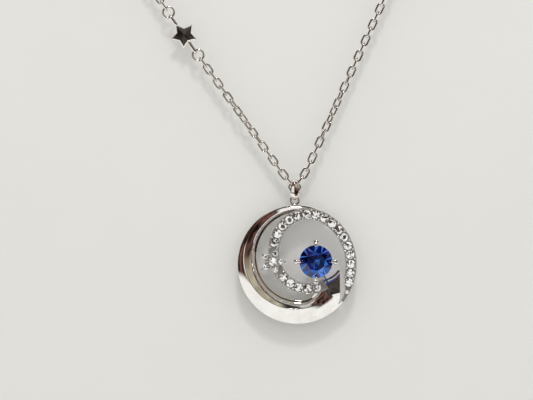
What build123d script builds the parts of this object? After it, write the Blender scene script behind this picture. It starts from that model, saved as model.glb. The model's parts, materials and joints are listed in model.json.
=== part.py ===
from build123d import *
import math
import os

# Pendant necklace: an openwork spiral pendant on a fine cable chain with a star charm,
# an extender chain and a spring-ring clasp. Millimetres, +Z up, +X to the right, the
# front of the necklace faces -Y. The origin is the centre of the pendant's round outline
# on its flat back, so the back plane is y = 0 and depths in front of it are positive here.

# ---- Pendant outline and crescent
DISC_R = 7.25
RIDGE_CENTRE, RIDGE_R = (-0.24, 0.80), 6.19
INNER_CENTRE, INNER_R = (0.43, 0.98), 5.38
CRESCENT_START, HORN_START, CRESCENT_STOP = 62.0, 298.0, 352.0
SECTION_STEP, HORN_STEP = 12.0, 6.0
RIDGE_DEPTH_TOP, RIDGE_DEPTH_BOTTOM, INNER_DEPTH = 2.10, 2.70, 1.10
FLANK_SLOPE, RIDGE_MARGIN = 0.65, 0.18
HORN_DEPTH, HORN_DEEP_FROM, HORN_DEEP_TO = 1.55, 290.0, 325.0
# Inner edge of the horn that carries the stone: angle round the disc, radius.
HORN_EDGE = [(275, 4.43), (290, 4.42), (302, 4.10), (315, 3.80), (329, 3.61), (340, 4.37), (352, 5.00)]
HORN_FLARE, FLARE_FROM, FLARE_TO = 0.85, 316.0, 332.0
# The horn is cut off square to +X, with a small slot at the lower corner of the cut.
HORN_CUT = [(5.18, 3.0), (5.18, -4.10), (4.98, -4.86), (5.80, -4.36), (9.0, -3.6), (9.0, 3.0)]
# Stock beyond the finished outline and faces, trimmed off again, and a height above every part.
TRIM, CLEAR_BELOW, CLEAR_ABOVE = 0.35, -1.0, 5.0

# ---- Stone-set spiral band
BAND_CENTRE = (1.35, 1.60)
BAND_A, BAND_B = 4.22, 4.54
BAND_OUTER_R = 6.55
BAND_FROM, BAND_TO = -57.0, 298.0
BLEND_FROM, BLEND_TO = 45.0, 65.0
BAND_HALF = 0.68
BAND_BACK, BAND_FRONT = 0.55, 1.90
TAPER_TO = -30.0
TAPER_HALF = -0.34
STONE_D, STONE_PITCH, FIRST_STONE_AT = 1.00, 1.125, 1.15
STONE_EDGE, END_MARGIN = 0.16, 8.0
SEAT_GAP = 0.012
BEAD_R, BEAD_SIDE, BEAD_RISE = 0.15, 0.50, 0.03

# ---- Stone-set star on the band
STAR_CENTRE = (-2.98, 0.34)
STAR_TIP_R, STAR_NOTCH_R = 1.78, 0.86
STAR_BACK, STAR_FRONT = 1.10, 2.25
STAR_STONE_D, STAR_TIP_STONE_D = 1.00, 0.62
STAR_TIP_STONE_R = 1.05
STAR_CLEAR_R = 1.72

# ---- Blue centre stone and its four-claw basket
GEM_CENTRE = (2.25, 0.37)
GEM_R = 2.00
GEM_GIRDLE, GEM_CROWN, GEM_PAVILION, GEM_EDGE = 3.00, 0.64, 1.62, 0.10
GEM_TABLE_R = 1.12
GALLERY_R, GALLERY_WIRE, GALLERY_DEPTH = 1.30, 0.40, 1.72
CLAW_WIRE, CLAW_BALL_R, CLAW_BALL_AT = 0.46, 0.33, 2.38
CLAW_BALL_DEPTH = 3.02
CLAW_TIP_AT, CLAW_TIP_DEPTH, CLAW_TIP_R = 1.92, 3.34, 0.22
BRIDGE_AT, BRIDGE_REACH, BRIDGE_R = -62.0, 2.62, 0.24
BRIDGE_TOP_DEPTH, BRIDGE_FOOT_DEPTH = 1.60, 1.25

# ---- Chain plane, pendant loop and bail
CHAIN_DEPTH = 0.85
LOOP_X, LOOP_Z = -0.30, 7.76
LOOP_WIRE, LOOP_HOLE_R = 0.30, 0.36
BAIL_Z, BAIL_HOLE_R, BAIL_THICK = 9.38, 0.88, 0.26
BAIL_FOOT_Z, BAIL_FOOT_R = 8.34, 0.32
BAIL_WIDTH, BAIL_TOP_WIDTH, BAIL_FOOT_WIDTH = 1.05, 0.70, 0.40
# Heights where the bail's width changes: top edge, shoulder, full width from and to, foot, bottom edge.
BAIL_HEIGHTS = (10.8, 10.0, 9.35, 8.75, 8.25, 7.5)

# ---- Fine cable chain
LINK_LENGTH, LINK_WIDTH, LINK_WIRE, LINK_PITCH = 1.64, 1.04, 0.28, 1.05
CENTRE_LINK = (LOOP_X, BAIL_Z)
LOOP_CURVE_R = 52.0
TURN = math.degrees(LINK_PITCH / LOOP_CURVE_R)
TWIST_FROM, TWIST_TO = 4, 16
LEFT_FIRST, LEFT_LEG, LEFT_ABOVE_CHARM, LEFT_UPPER_LEG = 132.0, 125.5, 124.0, 124.5
RIGHT_FIRST, RIGHT_LEG = 52.0, 65.7
EASING_LINKS = 3
# Number of fine links up to each break between chain sections, counted from the centre link.
LEFT_BREAKS = [18, 50, 82, 114, 146, 179]
RIGHT_BREAKS = [20, 52, 84, 116, 144, 172]
LEFT_STRAIGHT, RIGHT_STRAIGHT = 61, 86

# ---- Star charm in the left side
CHARM_RING_R, CHARM_RING_WIRE = 0.675, 0.30
CHARM_TIP_R, CHARM_NOTCH_R, CHARM_THICK = 1.62, 0.72, 0.80
CHARM_LOWER_REACH, CHARM_UPPER_REACH = 2.98, 3.36
CHARM_LOOP_WIDTH, CHARM_LOOP_WIRE = 0.96, 0.26
CHARM_UPPER_ROOT, CHARM_LOWER_ROOT, CHARM_PLAY = 1.30, 0.55, 0.02

# ---- Extender
EXT_RING_R, EXT_RING_WIRE = 1.30, 0.50
EXT_LENGTH, EXT_WIDTH, EXT_WIRE, EXT_PITCH = 3.10, 2.30, 0.45, 2.15
EXT_COUNT, EXT_BREAK = 17, 9
DROP_R, DROP_EYE_R, DROP_EYE_WIRE, DROP_SINK = 1.50, 0.62, 0.36, 0.10
PLAY = 0.03

# ---- Spring-ring clasp
CLASP_RING_R, CLASP_RING_WIRE = 1.00, 0.45
CLASP_R, CLASP_TUBE_R, CLASP_BORE_R = 2.35, 0.70, 0.46
CLASP_MOUTH, CLASP_GAP, CLASP_TIP_IN, CLASP_STAY_IN = 279.0, 64.0, 6.0, 34.0
BOLT_R, BOLT_TRAVEL = 0.41, 58.0
KNOB_AT, KNOB_R, KNOB_HEAD_R, KNOB_REACH = 18.0, 0.16, 0.32, 1.12
SLOT_HALF, SLOT_END = 0.22, 5.5
SPRING_COIL_R, SPRING_WIRE_R, SPRING_TURNS, SPRING_END_GAP = 0.32, 0.06, 16, 2.5
PLUG_AT, PLUG_SPAN = 156.0, 9.0
EYE_R, EYE_WIRE, EYE_SINK = 0.70, 0.40, 0.10


# ---------------------------------------------------------------- small geometry helpers
def polar(radius, degrees, centre=(0.0, 0.0)):
    """Point (x, z) at a radius and angle round a centre, in the front view."""
    a = math.radians(degrees)
    return centre[0] + radius * math.cos(a), centre[1] + radius * math.sin(a)


def radius_to_circle(degrees, centre, radius, origin=(0.0, 0.0)):
    """Distance from an origin inside a circle to its rim, in a direction."""
    a = math.radians(degrees)
    dx, dz = centre[0] - origin[0], centre[1] - origin[1]
    along = dx * math.cos(a) + dz * math.sin(a)
    return along + math.sqrt(radius ** 2 - dx ** 2 - dz ** 2 + along ** 2)


def smooth(value, low, high):
    """0 below low, 1 above high, with a soft ramp between."""
    t = min(max((value - low) / (high - low), 0.0), 1.0)
    return t * t * (3.0 - 2.0 * t)


def interpolate(table, value):
    """Straight-line value from a list of (input, output) pairs."""
    for (a, u), (b, v) in zip(table, table[1:]):
        if value <= b:
            return u + (v - u) * (value - a) / (b - a)
    return table[-1][1]


def prism(points, back, front):
    """Solid between two depths in front of the back plane, from an outline in the front view."""
    outline = Plane.XZ.offset(back) * make_face(Polyline(*points, close=True))
    return extrude(outline, amount=front - back)


def star_points(centre, tip_r, notch_r, first_tip):
    return [polar(tip_r if i % 2 == 0 else notch_r, first_tip + 36.0 * i, centre) for i in range(10)]


def torus_ring(radius, wire):
    """Closed round ring in the XZ plane, centred on the origin."""
    return Plane.XZ * Torus(radius, wire / 2)


def oval_link(length, width, wire):
    """Closed oval link in the XZ plane, long along X, centred on the origin."""
    bend, straight = (width - wire) / 2, (length - width) / 2
    path = Wire(
        [
            Edge.make_line((-straight, 0, -bend), (straight, 0, -bend)),
            Edge.make_three_point_arc((straight, 0, -bend), (straight + bend, 0, 0), (straight, 0, bend)),
            Edge.make_line((straight, 0, bend), (-straight, 0, bend)),
            Edge.make_three_point_arc((-straight, 0, bend), (-straight - bend, 0, 0), (-straight, 0, -bend)),
        ]
    )
    section = Plane(origin=(0, 0, -bend), x_dir=(0, 1, 0), z_dir=(1, 0, 0)) * Circle(wire / 2)
    return sweep(section, path=path)


def group(solids):
    return Compound(children=list(solids))


# ---------------------------------------------------------------- pendant
def ridge_radius(degrees):
    flare = HORN_FLARE * smooth(degrees, FLARE_FROM, FLARE_TO)
    return radius_to_circle(degrees, RIDGE_CENTRE, RIDGE_R) + flare


def inner_radius(degrees):
    if degrees <= HORN_EDGE[0][0]:
        return radius_to_circle(degrees, INNER_CENTRE, INNER_R)
    return interpolate(HORN_EDGE, degrees)


def crescent_section(degrees):
    """Radial slice of the crescent: outer wall, sloping outer flank, ridge, inner flank."""
    lowness = 0.5 - 0.5 * math.cos(math.radians(degrees - 90.0))
    ridge_depth = RIDGE_DEPTH_TOP + (RIDGE_DEPTH_BOTTOM - RIDGE_DEPTH_TOP) * lowness
    ridge_r = min(ridge_radius(degrees), DISC_R - RIDGE_MARGIN)
    inner_depth = INNER_DEPTH + (HORN_DEPTH - INNER_DEPTH) * smooth(degrees, HORN_DEEP_FROM, HORN_DEEP_TO)
    outline = [
        (DISC_R + TRIM, -TRIM),
        (DISC_R + TRIM, ridge_depth - FLANK_SLOPE * (DISC_R + TRIM - ridge_r)),
        (ridge_r, ridge_depth),
        (inner_radius(degrees), inner_depth),
        (inner_radius(degrees), -TRIM),
    ]
    corners = []
    for radius, depth in outline:
        x, z = polar(radius, degrees)
        corners.append(Vector(x, -depth, z))
    return Face(Wire.make_polygon(corners, close=True))


def crescent_body():
    wide = int((HORN_START - CRESCENT_START) / SECTION_STEP) + 1
    fine = int((CRESCENT_STOP - HORN_START) / HORN_STEP) + 1
    stations = [CRESCENT_START + SECTION_STEP * i for i in range(wide)]
    stations += [HORN_START + HORN_STEP * i for i in range(fine)]
    body = loft([crescent_section(s) for s in stations])
    disc = extrude(Plane.XZ * Circle(DISC_R), amount=CLEAR_ABOVE)
    return (body & disc) - prism(HORN_CUT, CLEAR_BELOW, CLEAR_ABOVE)


def band_radius(degrees):
    """Radius of the band's centreline round BAND_CENTRE: outer arc first, then the oval turn."""
    a = math.radians(degrees)
    outer = radius_to_circle(degrees, (0.0, 0.0), BAND_OUTER_R, BAND_CENTRE)
    oval = BAND_A * BAND_B / math.hypot(BAND_B * math.cos(a), BAND_A * math.sin(a))
    mix = smooth(degrees, BLEND_FROM, BLEND_TO)
    return outer * (1.0 - mix) + oval * mix


def band_point(degrees, offset=0.0):
    """Point on the band, offset outward from its centreline, in the front view."""
    step = 0.05
    x, z = polar(band_radius(degrees), degrees, BAND_CENTRE)
    x1, z1 = polar(band_radius(degrees - step), degrees - step, BAND_CENTRE)
    x2, z2 = polar(band_radius(degrees + step), degrees + step, BAND_CENTRE)
    length = math.hypot(x2 - x1, z2 - z1)
    return x + offset * (z2 - z1) / length, z - offset * (x2 - x1) / length


def inner_half_width(degrees):
    """Distance from the centreline to the band's inner edge, closing to a point at its start."""
    return TAPER_HALF + (BAND_HALF - TAPER_HALF) * smooth(degrees, BAND_FROM, TAPER_TO)


def band_outline():
    steps = 72
    angles = [BAND_FROM + (BAND_TO - BAND_FROM) * i / steps for i in range(steps + 1)]
    outer = [band_point(a, BAND_HALF) for a in angles]
    inner = []
    for a in angles:
        inner.append(band_point(a, -inner_half_width(a)))
    outer_edge = Spline(*outer)
    inner_edge = Spline(*inner)
    ends = [Line(outer[0], inner[0]), Line(outer[-1], inner[-1])]
    return make_face([outer_edge, inner_edge] + ends)


def band_prism(back, front):
    return extrude(Plane.XZ.offset(back) * band_outline(), amount=front - back)


def band_stations():
    """Angles of the stones, evenly spaced along the band's length."""
    stones = []
    fine = 0.25
    travelled, next_at = 0.0, FIRST_STONE_AT
    a = BAND_FROM
    while a < BAND_TO - END_MARGIN:
        p, q = band_point(a), band_point(a + fine)
        travelled += math.hypot(q[0] - p[0], q[1] - p[1])
        a += fine
        if travelled >= next_at:
            stones.append(a)
            next_at += STONE_PITCH
    return stones


def near_star(point, clear):
    return math.hypot(point[0] - STAR_CENTRE[0], point[1] - STAR_CENTRE[1]) < clear


def brilliant(radius, table_r, crown, pavilion, edge, grow=0.0):
    """Round stone seen from the front: crown towards -Y, girdle centred on the origin."""
    points = [
        (0, -pavilion - grow),
        (radius + grow, -edge / 2 - grow),
        (radius + grow, edge / 2),
        (table_r + grow, crown + grow),
        (0, crown + grow),
    ]
    return revolve(Plane.XY * make_face(Polyline(*[(x, -y) for x, y in points], close=True)), Axis.Y)


def small_stone(diameter, grow=0.0):
    r = diameter / 2
    return brilliant(r, r * 0.56, r * 0.32, r * 0.80, r * 0.10, grow)


def seated(solid, point, depth):
    return Pos(point[0], -depth, point[1]) * solid


def star_stone_seats():
    seats = [(STAR_CENTRE, STAR_STONE_D)]
    for i in range(5):
        seats.append((polar(STAR_TIP_STONE_R, 72.0 * i, STAR_CENTRE), STAR_TIP_STONE_D))
    return seats


def band_stone_seats():
    """Every band stone as (point, diameter); those under the star are left out."""
    seats = []
    for a in band_stations():
        half = inner_half_width(a)
        point = band_point(a, (BAND_HALF - half) / 2)
        if not near_star(point, STAR_CLEAR_R):
            seats.append((point, min(STONE_D, BAND_HALF + half - STONE_EDGE)))
    return seats


def pave_band(solid_band):
    """The band with a conical seat for each stone and raised grains that hold them."""
    cutters = []
    for point, size in band_stone_seats():
        cutters.append(seated(small_stone(size, SEAT_GAP), point, BAND_FRONT))
        opening = Plane.XZ.offset(BAND_FRONT) * Pos(point[0], point[1]) * Circle(size / 2 + SEAT_GAP)
        cutters.append(extrude(opening, amount=1.0))
    grains = []
    angles = band_stations()
    for a, b in zip(angles[1:], angles[2:]):
        for side in (-BEAD_SIDE, BEAD_SIDE):
            point = band_point((a + b) / 2, side)
            if not near_star(point, STAR_CLEAR_R):
                grains.append(seated(Sphere(BEAD_R), point, BAND_FRONT + BEAD_RISE))
    return (solid_band + grains) - cutters


def star_plate(solid_band):
    plate = prism(star_points(STAR_CENTRE, STAR_TIP_R, STAR_NOTCH_R, 0.0), STAR_BACK, STAR_FRONT)
    cutters = [solid_band]
    for point, size in star_stone_seats():
        cutters.append(seated(small_stone(size, SEAT_GAP), point, STAR_FRONT))
    return plate - cutters


def gem():
    stone = brilliant(GEM_R, GEM_TABLE_R, GEM_CROWN, GEM_PAVILION, GEM_EDGE)
    return seated(stone, GEM_CENTRE, GEM_GIRDLE)


def rod(start, end, radius):
    """Round bar between two points given as (x, depth, z)."""
    a, b = Vector(start[0], -start[1], start[2]), Vector(end[0], -end[1], end[2])
    return extrude(Plane(origin=a, z_dir=b - a) * Circle(radius), amount=(b - a).length)


def stone_basket(crescent, solid_band):
    """Gallery ring, four claws with rounded shoulders, and the foot that joins it to the horn."""
    basket = seated(torus_ring(GALLERY_R, GALLERY_WIRE), GEM_CENTRE, GALLERY_DEPTH)
    for turn in (0, 90, 180, 270):
        foot = polar(GALLERY_R, turn, GEM_CENTRE)
        shoulder = polar(CLAW_BALL_AT, turn, GEM_CENTRE)
        tip = polar(CLAW_TIP_AT, turn, GEM_CENTRE)
        ball = (shoulder[0], CLAW_BALL_DEPTH, shoulder[1])
        basket += rod((foot[0], GALLERY_DEPTH, foot[1]), ball, CLAW_WIRE / 2)
        basket += seated(Sphere(CLAW_BALL_R), shoulder, CLAW_BALL_DEPTH)
        basket += rod(ball, (tip[0], CLAW_TIP_DEPTH, tip[1]), CLAW_TIP_R)
        basket += seated(Sphere(CLAW_TIP_R), tip, CLAW_TIP_DEPTH)
    top = polar(GALLERY_R, BRIDGE_AT, GEM_CENTRE)
    foot = polar(BRIDGE_REACH, BRIDGE_AT, GEM_CENTRE)
    basket += rod((top[0], BRIDGE_TOP_DEPTH, top[1]), (foot[0], BRIDGE_FOOT_DEPTH, foot[1]), BRIDGE_R)
    return basket - [gem(), crescent, solid_band]


def pendant_loop():
    ring = seated(torus_ring(LOOP_HOLE_R + LOOP_WIRE / 2, LOOP_WIRE), (LOOP_X, LOOP_Z), CHAIN_DEPTH)
    return ring - extrude(Plane.XZ * Circle(DISC_R), amount=CLEAR_ABOVE)


def bail():
    """Narrow ribbon loop: wide on its front and back, slim over the chain and at its foot."""
    def teardrop(grow):
        top, foot = BAIL_HOLE_R + grow, BAIL_FOOT_R + grow
        rise = BAIL_Z - BAIL_FOOT_Z
        lean = math.asin((top - foot) / rise)
        ty, tz = top * math.cos(lean), BAIL_Z - top * math.sin(lean)
        fy, fz = foot * math.cos(lean), BAIL_FOOT_Z - foot * math.sin(lean)
        return make_face(
            [
                ThreePointArc((-ty, tz), (0, BAIL_Z + top), (ty, tz)),
                Line((ty, tz), (fy, fz)),
                ThreePointArc((fy, fz), (0, BAIL_FOOT_Z - foot), (-fy, fz)),
                Line((-fy, fz), (-ty, tz)),
            ]
        )

    side = Plane(origin=(LOOP_X - BAIL_WIDTH, -CHAIN_DEPTH, 0), x_dir=(0, 1, 0), z_dir=(1, 0, 0))
    wide = 2 * BAIL_WIDTH
    ribbon = extrude(side * teardrop(BAIL_THICK), amount=wide) - extrude(side * teardrop(0.0), amount=wide)
    full, top, foot = BAIL_WIDTH / 2, BAIL_TOP_WIDTH / 2, BAIL_FOOT_WIDTH / 2
    right = list(zip((top, top, full, full, foot, foot), BAIL_HEIGHTS))
    outline = [(LOOP_X + x, z) for x, z in right] + [(LOOP_X - x, z) for x, z in reversed(right)]
    return ribbon & prism(outline, CLEAR_BELOW, CLEAR_ABOVE)


# ---------------------------------------------------------------- chain
class Spot:
    """Where one link or ring sits: centre in the front view, heading and roll in degrees."""

    def __init__(self, x, z, heading, roll):
        self.x, self.z, self.heading, self.roll = x, z, heading, roll

    def place(self, solid):
        a, r = math.radians(self.heading), math.radians(self.roll)
        across = Vector(-math.sin(a), 0, math.cos(a))
        up = across * math.cos(r) + Vector(0, 1, 0) * math.sin(r)
        frame = Plane(origin=(self.x, -CHAIN_DEPTH, self.z), x_dir=(math.cos(a), 0, math.sin(a)), z_dir=up)
        return frame * solid


def next_spot(spot, heading, pitch, roll):
    """The spot a pitch further on from another one."""
    x, z = polar(pitch, heading, (spot.x, spot.z))
    return Spot(x, z, heading, roll)


def walk(start, headings, pitches, first_roll, twist):
    """Spots after a start point: each one is a pitch further on, turned a quarter from the last."""
    x, z = start
    spots = []
    for i, (heading, pitch) in enumerate(zip(headings, pitches)):
        x, z = x + pitch * math.cos(math.radians(heading)), z + pitch * math.sin(math.radians(heading))
        onward = headings[min(i + 1, len(headings) - 1)]
        spots.append(Spot(x, z, (heading + onward) / 2, first_roll + 90.0 * (i + 1) + twist(i + 1)))
    return spots


def quarter_twist(index):
    return 90.0 * smooth(index, TWIST_FROM, TWIST_TO)


def side_headings(first, leg, straight, turning, total):
    """Headings of a chain side: easing out of the bail, straight up the leg, then round the loop."""
    headings = []
    for i in range(total):
        heading = first + (leg - first) * smooth(i, 0, EASING_LINKS)
        heading += turning * max(0, i - straight)
        headings.append(heading)
    return headings


def left_spots():
    """Links, the two charm rings and the charm, in order up the left side."""
    lower = side_headings(LEFT_FIRST, LEFT_LEG, 0, 0.0, LEFT_BREAKS[0] + 1)
    spots = walk(CENTRE_LINK, lower, [LINK_PITCH] * len(lower), 0.0, quarter_twist)
    ring_low = spots.pop()
    ring_low.heading, ring_low.roll = LEFT_LEG, 0.0
    charm = next_spot(ring_low, LEFT_LEG, CHARM_LOWER_REACH, 0.0)
    ring_top = next_spot(charm, LEFT_ABOVE_CHARM, CHARM_UPPER_REACH, 0.0)
    above = LEFT_BREAKS[-1] - LEFT_BREAKS[0] + 1
    rest = side_headings(LEFT_ABOVE_CHARM, LEFT_UPPER_LEG, LEFT_STRAIGHT, -TURN, above)
    upper = walk((ring_top.x, ring_top.z), rest, [LINK_PITCH] * len(rest), 0.0, lambda i: 0.0)
    return spots, ring_low, charm, ring_top, upper


def right_spots():
    headings = side_headings(RIGHT_FIRST, RIGHT_LEG, RIGHT_STRAIGHT, TURN, RIGHT_BREAKS[-1] + 1)
    return walk(CENTRE_LINK, headings, [LINK_PITCH] * len(headings), 0.0, quarter_twist)


def fine_links(spots):
    link = oval_link(LINK_LENGTH, LINK_WIDTH, LINK_WIRE)
    return group(spot.place(link) for spot in spots)


def star_charm(spot):
    """Solid five-pointed star with a narrow soldered loop at each end of its length."""
    star = prism(star_points((0, 0), CHARM_TIP_R, CHARM_NOTCH_R, 0.0), -CHARM_THICK / 2, CHARM_THICK / 2)
    reaches = ((1, CHARM_UPPER_REACH, CHARM_UPPER_ROOT), (-1, CHARM_LOWER_REACH, CHARM_LOWER_ROOT))
    for sign, reach, root in reaches:
        end = reach - CHARM_RING_R + CHARM_RING_WIRE / 2 + CHARM_LOOP_WIRE + CHARM_PLAY
        loop = Rot(90, 0, 0) * oval_link(end - root, CHARM_LOOP_WIDTH, CHARM_LOOP_WIRE)
        star += Pos(sign * (end + root) / 2, 0, 0) * loop
    return spot.place(star)


def inner_half(length, wire):
    """Distance from a link's centre to the inside of its end."""
    return length / 2 - wire


def ring_hole(radius, wire):
    return radius - wire / 2


# ---------------------------------------------------------------- extender
def extender_spots(last_link):
    """The ring on the chain's end, the extender links hanging from it, and the drop's eye."""
    to_ring = inner_half(LINK_LENGTH, LINK_WIRE) + ring_hole(EXT_RING_R, EXT_RING_WIRE) - PLAY
    ring = next_spot(last_link, last_link.heading, to_ring, 0.0)
    first = ring_hole(EXT_RING_R, EXT_RING_WIRE) + inner_half(EXT_LENGTH, EXT_WIRE) - PLAY
    pitches = [first] + [EXT_PITCH] * (EXT_COUNT - 1)
    links = walk((ring.x, ring.z), [270.0] * EXT_COUNT, pitches, 0.0, lambda i: 0.0)
    to_eye = inner_half(EXT_LENGTH, EXT_WIRE) + ring_hole(DROP_EYE_R, DROP_EYE_WIRE) - PLAY
    eye = next_spot(links[-1], 270.0, to_eye, links[-1].roll + 90.0)
    return ring, links, eye


def extender_links(spots):
    link = oval_link(EXT_LENGTH, EXT_WIDTH, EXT_WIRE)
    return group(spot.place(link) for spot in spots)


def drop(spot):
    """Plain round bead with a soldered eye, at the extender's free end."""
    bead = Pos(DROP_EYE_R + DROP_R - DROP_SINK, 0, 0) * Sphere(DROP_R)
    return spot.place(torus_ring(DROP_EYE_R, DROP_EYE_WIRE) + bead)


# ---------------------------------------------------------------- clasp
def clasp_spots(last_link):
    """The jump ring on the chain's end, the clasp's eye and the clasp's centre."""
    to_ring = inner_half(LINK_LENGTH, LINK_WIRE) + ring_hole(CLASP_RING_R, CLASP_RING_WIRE) - PLAY
    ring = next_spot(last_link, last_link.heading, to_ring, 0.0)
    to_eye = ring_hole(CLASP_RING_R, CLASP_RING_WIRE) + ring_hole(EYE_R, EYE_WIRE) - PLAY
    eye = next_spot(ring, 270.0, to_eye, 90.0)
    centre = next_spot(eye, 270.0, EYE_R + CLASP_R + CLASP_TUBE_R - EYE_SINK, 0.0)
    return ring, eye, centre


def swept_round(section, start, span):
    """Turns a section drawn in the XY plane anticlockwise in the front view, from an angle."""
    turned = revolve(Plane.XY * section, Axis((0, 0, 0), (0, -1, 0)), span)
    return Rot(0, -start, 0) * turned


def clasp_body():
    """Hollow ring open at its mouth, with a slot for the knob and a plug behind the spring."""
    wall = Pos(CLASP_R, 0) * (Circle(CLASP_TUBE_R) - Circle(CLASP_BORE_R))
    body = swept_round(wall, CLASP_MOUTH, 360.0 - CLASP_GAP)
    plug = Pos(CLASP_R, 0) * Circle((CLASP_BORE_R + CLASP_TUBE_R) / 2)
    body += swept_round(plug, CLASP_MOUTH + PLUG_AT, PLUG_SPAN)
    slot = Pos(CLASP_R + CLASP_TUBE_R, 0) * Rectangle(2 * CLASP_TUBE_R, 2 * SLOT_HALF)
    slot_span = BOLT_TRAVEL + 2 * SLOT_END
    return body - swept_round(slot, CLASP_MOUTH + KNOB_AT - SLOT_END, slot_span)


def clasp_bolt():
    """Curved bolt that closes the ring's gap, with its thumb knob standing out of the slot."""
    start = CLASP_MOUTH - CLASP_GAP - CLASP_TIP_IN
    bolt = swept_round(Pos(CLASP_R, 0) * Circle(BOLT_R), start, CLASP_GAP + CLASP_TIP_IN + CLASP_STAY_IN)
    stem = Rot(0, 90, 0) * Cylinder(KNOB_R, KNOB_REACH, align=(Align.CENTER, Align.CENTER, Align.MIN))
    knob = Pos(CLASP_R, 0, 0) * stem + Pos(CLASP_R + KNOB_REACH, 0, 0) * Sphere(KNOB_HEAD_R)
    return bolt + Rot(0, -(CLASP_MOUTH + KNOB_AT), 0) * knob


def clasp_spring():
    """Coil spring that lies curved in the ring's bore, from the bolt to the plug."""
    start = CLASP_MOUTH + CLASP_STAY_IN + SPRING_END_GAP
    stop = CLASP_MOUTH + PLUG_AT - SPRING_END_GAP
    per_turn = 12
    count = SPRING_TURNS * per_turn
    points = []
    for i in range(count + 1):
        around = math.radians(360.0 * i / per_turn)
        radius = CLASP_R + SPRING_COIL_R * math.cos(around)
        x, z = polar(radius, start + (stop - start) * i / count)
        points.append(Vector(x, SPRING_COIL_R * math.sin(around), z))
    path = Edge.make_spline(points)
    section = Plane(origin=path @ 0, z_dir=path % 0) * Circle(SPRING_WIRE_R)
    return sweep(section, path=path)


def in_clasp(solid, centre):
    return Pos(centre.x, -CHAIN_DEPTH, centre.z) * solid


def clasp_eye(eye, centre):
    bar = in_clasp(Plane.XZ * Torus(CLASP_R, CLASP_TUBE_R), centre)
    return eye.place(torus_ring(EYE_R, EYE_WIRE)) - bar


# ---------------------------------------------------------------- every node
def sections(spots, breaks):
    """Splits a side's links into its sections at the given link numbers."""
    return [spots[low:high] for low, high in zip([0] + breaks, breaks)]


def build():
    nodes = {}
    solid_band = band_prism(BAND_BACK, BAND_FRONT)
    crescent = crescent_body() - band_prism(CLEAR_BELOW, CLEAR_ABOVE)
    nodes["crescent"] = crescent
    nodes["pave_band"] = pave_band(solid_band)
    nodes["pave_stones"] = group(seated(small_stone(d), p, BAND_FRONT) for p, d in band_stone_seats())
    nodes["star_plate"] = star_plate(solid_band)
    nodes["star_stones"] = group(seated(small_stone(d), p, STAR_FRONT) for p, d in star_stone_seats())
    nodes["stone_basket"] = stone_basket(crescent, solid_band)
    nodes["centre_stone"] = gem()
    nodes["pendant_loop"] = pendant_loop()
    nodes["bail"] = bail()

    nodes["chain_centre_link"] = fine_links([Spot(CENTRE_LINK[0], CENTRE_LINK[1], 0.0, 0.0)])
    lower, ring_low, charm, ring_top, upper = left_spots()
    left = sections(lower + upper, LEFT_BREAKS)
    right = sections(right_spots()[:RIGHT_BREAKS[-1]], RIGHT_BREAKS)
    for i, spots in enumerate(left):
        nodes[f"chain_left_{i + 1}"] = fine_links(spots)
    for i, spots in enumerate(right):
        nodes[f"chain_right_{i + 1}"] = fine_links(spots)
    nodes["charm_ring_lower"] = ring_low.place(torus_ring(CHARM_RING_R, CHARM_RING_WIRE))
    nodes["star_charm"] = star_charm(charm)
    nodes["charm_ring_upper"] = ring_top.place(torus_ring(CHARM_RING_R, CHARM_RING_WIRE))

    ring, links, eye = extender_spots(left[-1][-1])
    nodes["extender_ring"] = ring.place(torus_ring(EXT_RING_R, EXT_RING_WIRE))
    nodes["extender_links_1"] = extender_links(links[:EXT_BREAK])
    nodes["extender_links_2"] = extender_links(links[EXT_BREAK:])
    nodes["extender_drop"] = drop(eye)

    ring, eye, centre = clasp_spots(right[-1][-1])
    nodes["clasp_jump_ring"] = ring.place(torus_ring(CLASP_RING_R, CLASP_RING_WIRE))
    nodes["clasp_eye"] = clasp_eye(eye, centre)
    nodes["clasp_body"] = in_clasp(clasp_body(), centre)
    nodes["clasp_bolt"] = in_clasp(clasp_bolt(), centre)
    nodes["clasp_spring"] = in_clasp(clasp_spring(), centre)
    return nodes


if __name__ == "__main__":
    os.makedirs("parts", exist_ok=True)
    for name, shape in build().items():
        export_step(shape, f"parts/{name}.step")
        print(name, len(shape.solids()), "solids", round(shape.volume, 3), "mm3")
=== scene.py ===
import json
import math
import random

import bmesh
import bpy
from mathutils import Matrix, Vector


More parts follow.
